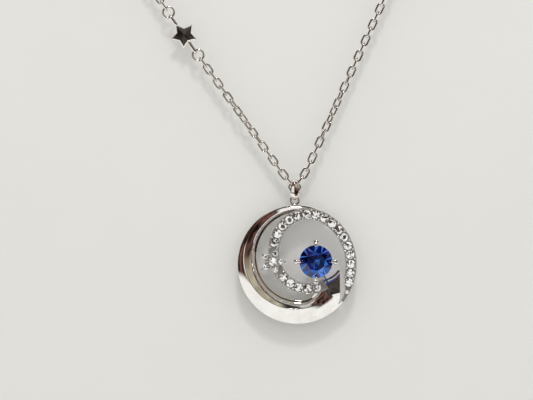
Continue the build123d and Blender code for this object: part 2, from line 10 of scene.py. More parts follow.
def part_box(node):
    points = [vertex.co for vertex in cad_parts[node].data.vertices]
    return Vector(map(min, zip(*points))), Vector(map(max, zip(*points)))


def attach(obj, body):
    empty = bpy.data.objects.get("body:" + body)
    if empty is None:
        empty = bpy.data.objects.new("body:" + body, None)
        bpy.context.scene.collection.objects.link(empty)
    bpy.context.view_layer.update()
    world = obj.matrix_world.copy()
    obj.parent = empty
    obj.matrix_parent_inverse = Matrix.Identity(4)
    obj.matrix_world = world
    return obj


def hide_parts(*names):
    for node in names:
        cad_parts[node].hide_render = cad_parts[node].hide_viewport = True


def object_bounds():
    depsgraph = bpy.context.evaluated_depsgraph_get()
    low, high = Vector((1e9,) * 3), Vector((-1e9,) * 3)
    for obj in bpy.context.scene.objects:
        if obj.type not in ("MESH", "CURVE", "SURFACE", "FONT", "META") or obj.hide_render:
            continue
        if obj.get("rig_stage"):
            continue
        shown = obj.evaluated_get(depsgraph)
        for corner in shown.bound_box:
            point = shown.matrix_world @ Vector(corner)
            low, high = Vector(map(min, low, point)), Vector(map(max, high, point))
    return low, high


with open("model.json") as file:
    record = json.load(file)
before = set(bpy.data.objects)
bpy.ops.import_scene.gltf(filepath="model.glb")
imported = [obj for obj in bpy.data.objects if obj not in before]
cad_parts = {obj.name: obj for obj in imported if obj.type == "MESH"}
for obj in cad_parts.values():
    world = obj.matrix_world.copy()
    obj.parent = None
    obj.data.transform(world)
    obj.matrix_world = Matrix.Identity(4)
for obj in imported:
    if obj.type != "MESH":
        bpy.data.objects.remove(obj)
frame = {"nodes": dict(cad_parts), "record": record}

# The looks of a pendant necklace around its CAD frame. Shapes are worked out in millimetres,
# as (x, depth, z) with depth measured forward of the pendant's flat back, and scaled to metres
# when a piece is finished.
MM = 0.001
START_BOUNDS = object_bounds()
RANDOM = random.Random(7)

# ---- Pendant outline and crescent, as in the CAD source
DISC_R = 7.25
RIDGE_CENTRE, RIDGE_R = (-0.24, 0.80), 6.19
INNER_CENTRE, INNER_R = (0.43, 0.98), 5.38
CRESCENT_START, CRESCENT_STOP, CRESCENT_STATIONS = 62.0, 352.0, 420
RIDGE_DEPTH_TOP, RIDGE_DEPTH_BOTTOM, INNER_DEPTH = 2.10, 2.70, 1.10
FLANK_SLOPE, RIDGE_MARGIN = 0.65, 0.18
HORN_DEPTH, HORN_DEEP_FROM, HORN_DEEP_TO = 1.55, 290.0, 325.0
# Inner edge of the horn that carries the stone: angle round the disc, radius.
HORN_EDGE = [(275, 4.43), (290, 4.42), (302, 4.10), (315, 3.80), (329, 3.61), (340, 4.37), (352, 5.00)]
HORN_EDGE_SOFTENING = 5.0
HORN_FLARE, FLARE_FROM, FLARE_TO = 0.85, 316.0, 332.0
# The horn is cut off square to +X, with a small slot at the lower corner of the cut.
HORN_CUT = [(5.18, 3.0), (5.18, -4.10), (4.98, -4.86), (5.80, -4.36), (9.0, -3.6), (9.0, 3.0)]
CUT_BELOW, CUT_ABOVE, CUT_GAP = -1.0, 5.0, 0.015
RIM_ROUND, RIDGE_ROUND, LIP_ROUND = 0.06, 0.06, 0.08
LIP_HEIGHT, LIP_WIDTH = 0.10, 0.26
FLANK_BULGE, INNER_EASE, INNER_POWER = 0.05, 0.35, 8
FLANK_STEPS, INNER_STEPS = 8, 16

# ---- Stone-set band
BAND_CENTRE = (1.35, 1.60)
BAND_A, BAND_B, BAND_OUTER_R = 4.22, 4.54, 6.55
BAND_FROM, BAND_TO, BAND_STATIONS, OUTLINE_STEPS = -57.0, 298.0, 360, 180
TANGENT_STEP, TRAVEL_STEP = 0.05, 0.25
BLEND_FROM, BLEND_TO = 45.0, 65.0
BAND_HALF, BAND_BACK, BAND_FRONT = 0.68, 0.55, 1.90
TAPER_TO, TAPER_HALF = -30.0, -0.34
RAIL, RAIL_SHARE, CHANNEL_DEPTH, RAIL_ROUND = 0.13, 0.22, 0.42, 0.04
STONE_D, STONE_PITCH, FIRST_STONE_AT = 1.00, 1.125, 1.15
STONE_EDGE, END_MARGIN = 0.16, 8.0
GRAIN_R, GRAIN_SIDE, GRAIN_RISE = 0.13, 0.47, 0.02

# ---- Star on the band
STAR_TIP_R, STAR_NOTCH_R = 1.78, 0.86
STAR_BACK, STAR_FRONT, STAR_BEVEL, STAR_FLOOR = 1.10, 2.25, 0.11, 0.14
STAR_BEVEL_TOP, STAR_RIM_INNER, STAR_FLOOR_EDGE = 0.066, 0.132, 0.165
STAR_STONE_D, STAR_TIP_STONE_D, STAR_TIP_STONE_R = 1.00, 0.68, 1.05
STAR_CLEAR_R = 1.72
STAR_GRAIN_R, STAR_GRAIN_AT = 0.09, 0.66

# ---- Cut of the small stones, as shares of their radius, and how far they tip
SMALL_CROWN, SMALL_PAVILION, SMALL_EDGE, SMALL_TABLE, SMALL_TIP = 0.32, 0.80, 0.10, 0.56, 0.06
# ---- Cut shared by all stones: facets round the table, and where the middle rings sit
CUT_FOLD, CROWN_MIDDLE, PAVILION_MIDDLE_R, PAVILION_MIDDLE = 8, 0.50, 0.42, 0.66
SMALL_GIRDLE, GEM_GIRDLE = 16, 48

# ---- Centre stone and basket
GEM_R, GEM_CROWN, GEM_PAVILION, GEM_EDGE, GEM_TABLE_R, GEM_TURN = 2.00, 0.64, 1.62, 0.10, 1.12, 10.0
GALLERY_R, GALLERY_WIRE, GALLERY_DEPTH = 1.30, 0.40, 1.72
CLAW_BALL_R, CLAW_BALL_AT, CLAW_BALL_DEPTH = 0.38, 2.38, 3.02
CLAW_TIP_AT, CLAW_TIP_DEPTH, CLAW_TIP_R = 1.95, 3.36, 0.19
CLAW_TURNS, CLAW_STEPS = (0.0, 90.0, 180.0, 270.0), 6
# The claw's line: distance from the stone's middle, depth, radius of the bar there.
CLAW_STOPS = [
    (GALLERY_R, GALLERY_DEPTH, 0.25), (1.72, 2.10, 0.25), (2.16, 2.62, 0.28),
    (CLAW_BALL_AT, CLAW_BALL_DEPTH, 0.342), (2.20, 3.28, CLAW_TIP_R),
    (CLAW_TIP_AT, CLAW_TIP_DEPTH, CLAW_TIP_R),
]
BRIDGE_AT, BRIDGE_REACH, BRIDGE_R = -62.0, 2.62, 0.24
BRIDGE_TOP_DEPTH, BRIDGE_FOOT_DEPTH = 1.60, 1.25
BASKET_VOXEL, BASKET_SMOOTHING, BASKET_PASSES = 0.035, 0.5, 4

# ---- Bail
BAIL_HOLE_R, BAIL_THICK, BAIL_FOOT_R = 0.88, 0.26, 0.32
BAIL_TOP_Z, BAIL_FOOT_Z = 9.38, 8.34
# Width of the ribbon by height.
BAIL_WIDTHS = [
    (8.00, 0.60), (8.15, 0.86), (8.30, 0.98), (9.20, 0.98), (9.60, 0.86), (10.10, 0.76), (10.60, 0.70),
]
BAIL_STEPS, BAIL_ACROSS, BAIL_SQUARENESS = 128, 33, 2.6
BAIL_FALL, BAIL_RIDGE, BAIL_CHAMFER, BAIL_CHAMFER_FROM, BAIL_INNER_SHARE = 0.55, 0.08, 0.20, 0.80, 0.96
CHAIN_DEPTH = 0.85

# ---- Star charm
CHARM_TIP_R, CHARM_NOTCH_R, CHARM_THICK = 1.62, 0.88, 0.80
CHARM_BEVEL, CHARM_BEVEL_HEIGHT, CHARM_RIM = 0.12, 0.08, 0.16
CHARM_DISH, CHARM_MIDDLE = 0.15, 0.03
CHARM_HEADING, CHARM_LOWER_REACH, CHARM_UPPER_REACH = 125.5, 2.98, 3.36
CHARM_RING_R, CHARM_RING_WIRE = 0.675, 0.30
CHARM_LOOP_WIDTH, CHARM_LOOP_WIRE, CHARM_LOOP_BAND = 0.96, 0.26, 0.40
CHARM_UPPER_ROOT, CHARM_LOWER_ROOT, CHARM_PLAY = 1.30, 0.55, 0.02

# ---- How far a five-pointed star's tips and notches move in when its edge moves in by one
TIP_INSET, NOTCH_INSET = 2.1, 0.9

# ---- Sparkle of the stones: the chances where painted flash facets (painted highlights) and mirroring facets begin
FACET_CHANCE = "facet_chance"
PAVE_SHARES, GEM_SHARES, SHARE_EDGE = (0.16, 0.70), (0.58, 0.84), 0.01

# ---- Shading: edges sharper than this many degrees stay crisp
SHARP_OVER, STAR_SHARP, SOFT, FACETED = 38.0, 20.0, 60.0, 0.0

# ---- Stage
CARD_GAP, CARD_WIDTH, CARD_ABOVE = 0.60, 420.0, 110.0
CARD_TINT, CARD_SHADE, CARD_GRAIN = (0.79, 0.79, 0.775), (0.765, 0.765, 0.75), 0.05
FLOOR_BELOW, FLOOR_SIZE = 40.0, 1400.0
VIEW_AIM, VIEW_DISTANCE, VIEW_WIDTH = (-3.73, 7.83), 280.0, 65.2
SENSOR, CLIP = 36.0, (0.01, 10.0)
AMBIENT = (0.885, 0.875, 0.862)
KEY_AT, KEY_SIZE, KEY_WATTS, KEY_TINT = (10.0, -330.0, 340.0), 80.0, 0.44, (1.0, 0.98, 0.95)
BACKDROP = (0.74, 0.73, 0.71)


# ---------------------------------------------------------------- outline maths
def polar(radius, degrees, centre=(0.0, 0.0)):
    a = math.radians(degrees)
    return centre[0] + radius * math.cos(a), centre[1] + radius * math.sin(a)


def radius_to_circle(degrees, centre, radius, origin=(0.0, 0.0)):
    """Distance from an origin inside a circle to its rim, in a direction."""
    a = math.radians(degrees)
    dx, dz = centre[0] - origin[0], centre[1] - origin[1]
    along = dx * math.cos(a) + dz * math.sin(a)
    return along + math.sqrt(radius ** 2 - dx ** 2 - dz ** 2 + along ** 2)


def smooth(value, low, high):
    t = min(max((value - low) / (high - low), 0.0), 1.0)
    return t * t * (3.0 - 2.0 * t)


def interpolate(table, value):
    value = max(value, table[0][0])
    for (a, u), (b, v) in zip(table, table[1:]):
        if value <= b:
            return u + (v - u) * (value - a) / (b - a)
    return table[-1][1]


def softened(table, value, reach, steps=8):
    """A table's value averaged over a reach on both sides, so its corners turn into curves."""
    total = 0.0
    for i in range(-steps, steps + 1):
        total += interpolate(table, value + reach * i / steps)
    return total / (2 * steps + 1)


def rounded(points, reaches, steps=5, most=1 / 2.2):
    """A polyline with its inner corners turned into short curves of the given reaches, none of
    them taking up more than a share of a side."""
    out = []
    for i, (point, reach) in enumerate(zip(points, reaches)):
        if reach == 0 or i in (0, len(points) - 1):
            out.append(point)
            continue
        here = Vector(point)
        to_before, to_after = Vector(points[i - 1]) - here, Vector(points[i + 1]) - here
        a = here + to_before.normalized() * min(reach, to_before.length * most)
        b = here + to_after.normalized() * min(reach, to_after.length * most)
        for step in range(steps + 1):
            t = step / steps
            out.append(tuple(a * (1 - t) ** 2 + here * 2 * t * (1 - t) + b * t * t))
    return out


def star_points(tip_r, notch_r, centre=(0.0, 0.0)):
    """Outline of a five-pointed star whose first tip points to +X."""
    return [polar(notch_r if i % 2 else tip_r, 36.0 * i, centre) for i in range(10)]


def front(point, depth):
    """A point of the front view at a depth in front of the pendant's back."""
    return (point[0], -depth, point[1])


def middle(node):
    low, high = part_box(node)
    return (low + high) / 2 / MM


# ---------------------------------------------------------------- mesh building
class Shape:
    """Closed parts gathered into one mesh, in millimetres."""

    def __init__(self):
        self.bm = bmesh.new()

    def loft(self, rings, closed=False):
        """A surface through rings of points that all have the same count."""
        loops = [[self.bm.verts.new(p) for p in ring] for ring in rings]
        pairs = list(zip(loops, loops[1:]))
        if closed:
            pairs.append((loops[-1], loops[0]))
        for a, b in pairs:
            for j in range(len(a)):
                k = (j + 1) % len(a)
                self.bm.faces.new((a[j], a[k], b[k], b[j]))
        if not closed:
            self.bm.faces.new(loops[0][::-1])
            self.bm.faces.new(loops[-1])
        return self

    def tube(self, path, radii, sides=20):
        """A round bar along a path, with a radius at every point."""
        path = [Vector(p) for p in path]
        rings = []
        side = None
        for i, point in enumerate(path):
            along = (path[min(i + 1, len(path) - 1)] - path[max(i - 1, 0)]).normalized()
            if side is None:
                side = along.orthogonal().normalized()
            side = (side - along * side.dot(along)).normalized()
            other = along.cross(side)
            ring = []
            for j in range(sides):
                a = 2 * math.pi * j / sides
                ring.append(point + (side * math.cos(a) + other * math.sin(a)) * radii[i])
            rings.append(ring)
        return self.loft(rings)

    def torus(self, centre, u, v, radius, wire, around=72, sides=20):
        """A round ring in the plane of the unit vectors u and v."""
        return self.bend(centre, u, v, radius, 0.0, wire, wire, around, sides)

    def bend(self, centre, u, v, radius, straight, wire, band, around=64, sides=18):
        """A closed oval loop, long along u: its section is wire thick and band wide."""
        centre, u, v = Vector(centre), Vector(u), Vector(v)
        normal = u.cross(v)
        rings = []
        for i in range(around):
            a = 2 * math.pi * (i + 0.5) / around
            out = u * math.cos(a) + v * math.sin(a)
            shift = u * (straight if math.cos(a) > 0 else -straight)
            ring = []
            for j in range(sides):
                b = 2 * math.pi * j / sides
                reach, aside = radius + wire / 2 * math.cos(b), band / 2 * math.sin(b)
                ring.append(centre + shift + out * reach + normal * aside)
            rings.append(ring)
        return self.loft(rings, closed=True)

    def ball(self, centre, radius):
        at = Matrix.Translation(centre)
        bmesh.ops.create_icosphere(self.bm, subdivisions=3, radius=radius, matrix=at)
        return self

    def hull(self, points):
        """The faceted solid stretched over a set of points."""
        verts = [self.bm.verts.new(p) for p in points]
        made = bmesh.ops.convex_hull(self.bm, input=verts)
        left_over = made["geom_interior"] + made["geom_unused"]
        spare = {item for item in left_over if isinstance(item, bmesh.types.BMVert)}
        bmesh.ops.delete(self.bm, geom=list(spare), context="VERTS")
        return self

    def prism(self, outline, back, top):
        return self.loft([[front(p, back) for p in outline], [front(p, top) for p in outline]])

    def mesh(self, name):
        bmesh.ops.recalc_face_normals(self.bm, faces=self.bm.faces)
        mesh = bpy.data.meshes.new(name)
        self.bm.to_mesh(mesh)
        self.bm.free()
        return mesh


def reworked(mesh, modifiers):
    """A mesh after modifiers, each given as (kind, settings)."""
    work = bpy.data.objects.new("work", mesh)
    bpy.context.scene.collection.objects.link(work)
    for kind, settings in modifiers:
        modifier = work.modifiers.new(kind, kind)
        for key, value in settings.items():
            setattr(modifier, key, value)
    graph = bpy.context.evaluated_depsgraph_get()
    result = bpy.data.meshes.new_from_object(work.evaluated_get(graph))
    bpy.data.objects.remove(work)
    return result


def cut(mesh, cutters):
    """A mesh with other closed meshes taken away from it."""
    tools = []
    for cutter in cutters:
        tool = bpy.data.objects.new("tool", cutter)
        bpy.context.scene.collection.objects.link(tool)
        tools.append(tool)
    steps = [("BOOLEAN", {"operation": "DIFFERENCE", "solver": "EXACT", "object": tool}) for tool in tools]
    result = reworked(mesh, steps)
    for tool in tools:
        bpy.data.objects.remove(tool)
    return result


def shade(mesh, sharp_over):
    """Smooth shading, broken only where two faces meet at more than an angle in degrees."""
    bm = bmesh.new()
    bm.from_mesh(mesh)
    limit = math.radians(sharp_over)
    for face in bm.faces:
        face.smooth = sharp_over > 0
    for edge in bm.edges:
        edge.smooth = len(edge.link_faces) == 2 and edge.calc_face_angle(math.pi) < limit
    bm.to_mesh(mesh)
    bm.free()


def piece(name, mesh, material, body, node, sharp_over=SHARP_OVER):
    """A finished piece that rides a CAD body and stands for one of its nodes."""
    mesh.name = name
    mesh.transform(Matrix.Scale(MM, 4))
    shade(mesh, sharp_over)
    mesh.materials.clear()
    mesh.materials.append(material)
    if material in (CLEAR, BLUE):
        chances = mesh.attributes.new(FACET_CHANCE, "FLOAT", "FACE")
        chances.data.foreach_set("value", [RANDOM.random() for _ in mesh.polygons])
    obj = bpy.data.objects.new(name, mesh)
    bpy.context.scene.collection.objects.link(obj)
    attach(obj, body)
    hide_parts(node)


# ---------------------------------------------------------------- materials
class Nodes:
    """Short hand for wiring a node tree."""

    def __init__(self, tree):
        self.tree = tree
        tree.nodes.clear()

    def add(self, kind, **settings):
        node = self.tree.nodes.new(kind)
        for key, value in settings.items():
            if key in node.inputs:
                node.inputs[key].default_value = value
            else:
                setattr(node, key, value)
        return node

    def link(self, out, into):
        self.tree.links.new(out, into)

    def noise(self, coordinate, scale, detail=4.0, rough=0.55):
        node = self.add("ShaderNodeTexNoise")
        node.inputs["Scale"].default_value = scale
        node.inputs["Detail"].default_value = detail
        node.inputs["Roughness"].default_value = rough
        self.link(coordinate, node.inputs["Vector"])
        return node.outputs["Fac"]

    def ranged(self, value, low, high, to_low, to_high):
        node = self.add("ShaderNodeMapRange")
        for key, number in (("From Min", low), ("From Max", high), ("To Min", to_low), ("To Max", to_high)):
            node.inputs[key].default_value = number
        self.link(value, node.inputs["Value"])
        return node.outputs["Result"]

    def mixed(self, factor, a, b):
        """Colour a to colour b; either is three numbers or another node's output."""
        node = self.add("ShaderNodeMix", data_type="RGBA")
        self.link(factor, node.inputs["Factor"])
        for key, colour in (("A", a), ("B", b)):
            if isinstance(colour, tuple):
                node.inputs[key].default_value = (*colour, 1.0)
            else:
                self.link(colour, node.inputs[key])
        return node.outputs["Result"]

    def maths(self, operation, a, b):
        node = self.add("ShaderNodeMath", operation=operation)
        for i, value in enumerate((a, b)):
            if isinstance(value, float):
                node.inputs[i].default_value = value
            else:
                self.link(value, node.inputs[i])
        return node.outputs["Value"]

    def product(self, a, b):
        return self.maths("MULTIPLY", a, b)

    def ramp(self, value, low, high):
        """0 at low, 1 at high, held beyond both."""
        return self.ranged(value, low, high, 0.0, 1.0)

    def stacked(self, factor, a, b):
        """Shader a to shader b."""
        node = self.add("ShaderNodeMixShader")
        self.link(factor, node.inputs["Fac"])
        self.link(a, node.inputs[1])
        self.link(b, node.inputs[2])
        return node.outputs["Shader"]


def new_material(name):
    material = bpy.data.materials.new(name)
    material.use_nodes = True
    return material, Nodes(material.node_tree)


def metal(name, bright, dull, roughness, wear_scale, scratch, metallic=1.0):
    """Polished metal: cloudy roughness, a faint warm film, and fine hairline scratches."""
    material, n = new_material(name)
    place = n.add("ShaderNodeTexCoord").outputs["Object"]
    cloud = n.noise(place, wear_scale)
    stretch = n.add("ShaderNodeMapping")
    stretch.inputs["Rotation"].default_value = (0.3, 0.5, 0.7)
    stretch.inputs["Scale"].default_value = (1.0, 1.0, 0.05)
    n.link(place, stretch.inputs["Vector"])
    hairline = n.noise(stretch.outputs["Vector"], wear_scale * 12, 2.0)
    bump = n.add("ShaderNodeBump")
    bump.inputs["Strength"].default_value = scratch
    bump.inputs["Distance"].default_value = 0.02 * MM
    n.link(hairline, bump.inputs["Height"])
    shader = n.add("ShaderNodeBsdfPrincipled")
    shader.inputs["Metallic"].default_value = metallic
    n.link(n.mixed(n.ranged(cloud, 0.35, 0.75, 0.0, 1.0), bright, dull), shader.inputs["Base Color"])
    n.link(n.ranged(cloud, 0.3, 0.7, *roughness), shader.inputs["Roughness"])
    n.link(bump.outputs["Normal"], shader.inputs["Normal"])
    n.link(shader.outputs["BSDF"], n.add("ShaderNodeOutputMaterial").inputs["Surface"])
    return material


def cut_stone(name, light, deep, painted_flash, mirror, index, shares, painted_highlight=None):
    """A cut stone: by its own chance each facet shows through, is painted as a flash (a diffuse facet in a
    fixed colour, a painted highlight) or mirrors the room.

    shares are the chances where the painted flashes and the mirroring begin; painted_highlight is (place,
    reach, colour) of a lighter patch painted into the body colour.
    """
    material, n = new_material(name)
    place = n.add("ShaderNodeTexCoord").outputs["Object"]
    drift = n.noise(place, 700.0, 2.0)
    body = n.mixed(n.ramp(drift, 0.35, 0.65), light, deep)
    dimmer = tuple(0.88 * c for c in painted_flash)
    painted_spark = n.mixed(n.ramp(n.noise(place, 2600.0, 2.0), 0.4, 0.6), painted_flash, dimmer)
    # Painted highlight: the body colour turns a lighter azure near one spot in front of the stone's middle.
    if painted_highlight:
        away = n.add("ShaderNodeVectorMath", operation="DISTANCE")
        n.link(place, away.inputs[0])
        away.inputs[1].default_value = Vector(painted_highlight[0]) * MM
        body = n.mixed(n.ranged(away.outputs["Value"], 0.0, painted_highlight[1] * MM, 1.0, 0.0), body, painted_highlight[2])
    chance = n.add("ShaderNodeAttribute", attribute_name=FACET_CHANCE).outputs["Fac"]
    glass = n.add("ShaderNodeBsdfPrincipled")
    glass.inputs["IOR"].default_value = index
    glass.inputs["Transmission Weight"].default_value = 1.0
    n.link(body, glass.inputs["Base Color"])
    n.link(n.ranged(drift, 0.3, 0.7, 0.0, 0.02), glass.inputs["Roughness"])
    # Painted flash: a diffuse facet in a fixed bright colour stands in for light flashing from the stone, a
    # painted highlight.
    painted_flash_facet = n.add("ShaderNodeBsdfDiffuse")
    n.link(painted_spark, painted_flash_facet.inputs["Color"])
    shiny = n.add("ShaderNodeBsdfAnisotropic")
    shiny.inputs["Color"].default_value = (*mirror, 1.0)
    shiny.inputs["Roughness"].default_value = 0.02
    painted_flashes, mirrors = [n.ramp(chance, share, share + SHARE_EDGE) for share in shares]
    painted_flashing = n.stacked(painted_flashes, glass.outputs["BSDF"], painted_flash_facet.outputs["BSDF"])
    both = n.stacked(mirrors, painted_flashing, shiny.outputs["BSDF"])
    n.link(both, n.add("ShaderNodeOutputMaterial").inputs["Surface"])
    return material


POLISHED = metal("polished_silver", (0.90, 0.89, 0.87), (0.80, 0.77, 0.72), (0.03, 0.09), 700.0, 0.10)
BRIGHT_CUT = metal(
    "bright_cut_silver", (0.95, 0.94, 0.92), (0.86, 0.84, 0.81), (0.12, 0.26), 1800.0, 0.25, 0.74
)
CHAIN = metal("chain_silver", (0.86, 0.85, 0.83), (0.62, 0.58, 0.52), (0.08, 0.20), 1500.0, 0.25)
SPRING = metal("spring_steel", (0.56, 0.56, 0.57), (0.40, 0.38, 0.36), (0.18, 0.32), 2500.0, 0.30)
# The flash colours below are painted highlights, put on diffuse facets.
CLEAR = cut_stone(
    "clear_stone", light=(1.0, 1.0, 1.0), deep=(0.93, 0.94, 0.95), painted_flash=(0.98, 0.98, 0.97),
    mirror=(0.96, 0.96, 0.96), index=2.15, shares=PAVE_SHARES,
)
BLUE = cut_stone(
    "blue_stone", light=(0.10, 0.28, 0.95), deep=(0.04, 0.12, 0.62), painted_flash=(0.05, 0.16, 0.60),
    mirror=(0.10, 0.25, 0.75), index=1.76, shares=GEM_SHARES,
    # Painted highlight: a lighter azure patch in the blue stone's body colour.
    painted_highlight=(middle("centre_stone") + Vector((0.5, -1.0, 0.5)), 1.1, (0.20, 0.65, 1.0)),
)


# ---------------------------------------------------------------- crescent
def crescent_profile(degrees):
    """Radial slice as (radius, depth): outer wall and flank, ridge, hollow inner flank, lip."""
    lowness = 0.5 - 0.5 * math.cos(math.radians(degrees - 90.0))
    ridge_depth = RIDGE_DEPTH_TOP + (RIDGE_DEPTH_BOTTOM - RIDGE_DEPTH_TOP) * lowness
    flare = HORN_FLARE * smooth(degrees, FLARE_FROM, FLARE_TO)
    ridge_r = min(radius_to_circle(degrees, RIDGE_CENTRE, RIDGE_R) + flare, DISC_R - RIDGE_MARGIN)
    inner_r = radius_to_circle(degrees, INNER_CENTRE, INNER_R)
    if degrees > HORN_EDGE[0][0]:
        inner_r = softened(HORN_EDGE, degrees, HORN_EDGE_SOFTENING)
    inner_depth = INNER_DEPTH + (HORN_DEPTH - INNER_DEPTH) * smooth(degrees, HORN_DEEP_FROM, HORN_DEEP_TO)
    rim_depth = ridge_depth - FLANK_SLOPE * (DISC_R - ridge_r)
    width = ridge_r - inner_r
    lip_width = min(LIP_WIDTH, width / 3)
    lip_depth = inner_depth + LIP_HEIGHT

    outer = []
    for i in range(1, FLANK_STEPS):
        t = i / FLANK_STEPS
        bulge = FLANK_BULGE * (DISC_R - ridge_r) * 4 * t * (1 - t)
        depth = rim_depth + (ridge_depth - rim_depth) * t + bulge
        outer.append((DISC_R + (ridge_r - DISC_R) * t, depth))
    inner = []
    for i in range(1, INNER_STEPS):
        t = i / INNER_STEPS
        fall = INNER_EASE * t + (1 - INNER_EASE) * t ** INNER_POWER
        depth = ridge_depth + (lip_depth - ridge_depth) * fall
        inner.append((ridge_r + (inner_r + lip_width - ridge_r) * t, depth))
    points = [(DISC_R, 0.0), (DISC_R, rim_depth)] + outer + [(ridge_r, ridge_depth)] + inner
    points += [(inner_r + lip_width, lip_depth), (inner_r, lip_depth - LIP_HEIGHT / 2), (inner_r, 0.0)]
    reaches = [0.0, RIM_ROUND] + [0.0] * len(outer) + [RIDGE_ROUND] + [0.0] * len(inner)
    reaches += [0.0, LIP_ROUND, 0.0]
    return rounded(points, reaches)


def crescent_mesh():
    rings = []
    for i in range(CRESCENT_STATIONS + 1):
        degrees = CRESCENT_START + (CRESCENT_STOP - CRESCENT_START) * i / CRESCENT_STATIONS
        rings.append([front(polar(r, degrees), depth) for r, depth in crescent_profile(degrees)])
    body = Shape().loft(rings).mesh("crescent_look")
    band = Shape().prism(band_outline(CUT_GAP), CUT_BELOW, CUT_ABOVE).mesh("band_cutter")
    horn = Shape().prism(HORN_CUT, CUT_BELOW, CUT_ABOVE).mesh("horn_cutter")
    return cut(body, [band, horn])


# ---------------------------------------------------------------- stone-set band
def band_radius(degrees):
    """Radius of the band's centreline round BAND_CENTRE: outer arc first, then the oval turn."""
    a = math.radians(degrees)
    outer = radius_to_circle(degrees, (0.0, 0.0), BAND_OUTER_R, BAND_CENTRE)
    oval = BAND_A * BAND_B / math.hypot(BAND_B * math.cos(a), BAND_A * math.sin(a))
    mix = smooth(degrees, BLEND_FROM, BLEND_TO)
    return outer * (1.0 - mix) + oval * mix


def band_point(degrees, offset=0.0):
    """A point of the band's centreline, moved sideways by an offset towards the outside."""
    before, after = degrees - TANGENT_STEP, degrees + TANGENT_STEP
    x, z = polar(band_radius(degrees), degrees, BAND_CENTRE)
    x1, z1 = polar(band_radius(before), before, BAND_CENTRE)
    x2, z2 = polar(band_radius(after), after, BAND_CENTRE)
    length = math.hypot(x2 - x1, z2 - z1)
    return x + offset * (z2 - z1) / length, z - offset * (x2 - x1) / length


def inner_half_width(degrees):
    """Width of the band inside its centreline: it tapers in at the free end."""
    return TAPER_HALF + (BAND_HALF - TAPER_HALF) * smooth(degrees, BAND_FROM, TAPER_TO)


def band_outline(grow=0.0):
    angles = [BAND_FROM + (BAND_TO - BAND_FROM) * i / OUTLINE_STEPS for i in range(OUTLINE_STEPS + 1)]
    outer = [band_point(a, BAND_HALF + grow) for a in angles]
    inner = [band_point(a, -inner_half_width(a) - grow) for a in angles]
    return outer + inner[::-1]


def band_stations():
    """Angles of the stones, evenly spaced along the band's length."""
    stones = []
    travelled, next_at = 0.0, FIRST_STONE_AT
    a = BAND_FROM
    while a < BAND_TO - END_MARGIN:
        p, q = band_point(a), band_point(a + TRAVEL_STEP)
        travelled += math.hypot(q[0] - p[0], q[1] - p[1])
        a += TRAVEL_STEP
        if travelled >= next_at:
            stones.append(a)
            next_at += STONE_PITCH
    return stones


def star_centre():
    low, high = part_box("star_plate")
    return high.x / MM - STAR_TIP_R, (low.z + high.z) / 2 / MM


def near_star(point):
    x, z = star_centre()
    return math.hypot(point[0] - x, point[1] - z) < STAR_CLEAR_R


def band_mesh():
    """The band with a rail along each edge, a channel between, and grains that hold the stones."""
    shape = Shape()
    rings = []
    floor = BAND_FRONT - CHANNEL_DEPTH
    for i in range(BAND_STATIONS + 1):
        a = BAND_FROM + (BAND_TO - BAND_FROM) * i / BAND_STATIONS
        low, high = -inner_half_width(a), BAND_HALF
        rail = min(RAIL, RAIL_SHARE * (high - low))
        outer_rail = [
            (high, BAND_BACK), (high, BAND_FRONT), (high - rail, BAND_FRONT), (high - rail, floor),
        ]
        inner_rail = [
            (low + rail, floor), (low + rail, BAND_FRONT), (low, BAND_FRONT), (low, BAND_BACK),
        ]
        section = rounded(outer_rail + inner_rail, [0.0, RAIL_ROUND, RAIL_ROUND, 0.0] * 2)
        rings.append([front(band_point(a, offset), depth) for offset, depth in section])
    shape.loft(rings)
    angles = band_stations()
    for a, b in zip(angles[1:], angles[2:]):
        for side in (-GRAIN_SIDE, GRAIN_SIDE):
            point = band_point((a + b) / 2, side)
            if not near_star(point):
                shape.ball(front(point, BAND_FRONT + GRAIN_RISE), GRAIN_R)
    return shape.mesh("pave_band_look")


def brilliant_points(radius, crown, pavilion, edge, table_r, girdle, turn, tip=(0.0, 0.0)):
    """Corner points of a round cut stone: table, star tips, girdle, pavilion, point at the back."""
    points = []
    half_turn = 180.0 / CUT_FOLD
    for i in range(CUT_FOLD):
        a = 2 * half_turn * i + turn
        points.append((*polar(table_r, a), crown))
        points.append((*polar((radius + table_r) / 2, a + half_turn), crown * CROWN_MIDDLE))
        deep = -edge / 2 - (pavilion - edge / 2) * PAVILION_MIDDLE
        points.append((*polar(radius * PAVILION_MIDDLE_R, a + half_turn), deep))
    for i in range(girdle):
        a = 360.0 / girdle * i + turn
        points.append((*polar(radius, a), edge / 2))
        points.append((*polar(radius, a), -edge / 2))
    points.append((0.0, 0.0, -pavilion))
    return [Vector((x, -depth - x * tip[0] - z * tip[1], z)) for x, z, depth in points]


def add_stone(shape, point, depth, size):
    """A small clear stone, turned and tipped a little at random as hand-set stones are."""
    r = size / 2
    turn = RANDOM.uniform(0.0, 45.0)
    tip = RANDOM.uniform(-SMALL_TIP, SMALL_TIP), RANDOM.uniform(-SMALL_TIP, SMALL_TIP)
    at = Vector(front(point, depth))
    corners = brilliant_points(
        r, r * SMALL_CROWN, r * SMALL_PAVILION, r * SMALL_EDGE, r * SMALL_TABLE, SMALL_GIRDLE, turn, tip
    )
    shape.hull([at + c for c in corners])


def band_stones_mesh():
    shape = Shape()
    for a in band_stations():
        half = inner_half_width(a)
        point = band_point(a, (BAND_HALF - half) / 2)
        if not near_star(point):
            add_stone(shape, point, BAND_FRONT, min(STONE_D, BAND_HALF + half - STONE_EDGE))
    return shape.mesh("pave_stones_look")


# ---------------------------------------------------------------- star on the band
def star_seats():
    centre = star_centre()
    seats = [(centre, STAR_STONE_D)]
    for i in range(5):
        seats.append((polar(STAR_TIP_STONE_R, 72.0 * i, centre), STAR_TIP_STONE_D))
    return seats


